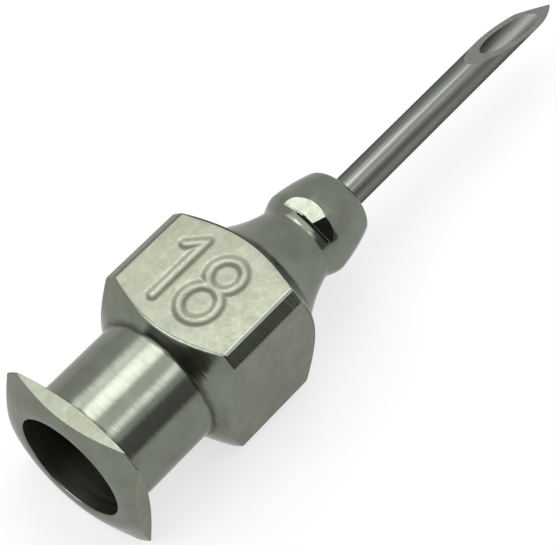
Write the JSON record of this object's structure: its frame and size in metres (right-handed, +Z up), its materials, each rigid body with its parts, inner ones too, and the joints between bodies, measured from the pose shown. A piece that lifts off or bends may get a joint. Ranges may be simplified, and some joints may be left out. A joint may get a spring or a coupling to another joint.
{
  "type": "veterinary hypodermic needle",
  "caption": "Short metal veterinary hypodermic needle with a square turned hub, a syringe lock at its mouth and a bevelled cannula, lying on its flats.",
  "frame": {"origin": "middle of the needle's length and width, on the surface that its flats lie on", "axes": "+X along the needle toward its point, +Z up out of the marked flat of the square body, +Y to the left of the point"},
  "size_m": [0.027, 0.006, 0.0059],
  "materials": {
    "nickel_plated_brass": "satin nickel plate",
    "ground_stainless_steel": "drawn and ground"
  },
  "bodies": {
    "root": {"hub": "nickel_plated_brass", "cannula": "ground_stainless_steel"}
  },
  "joints": []
}
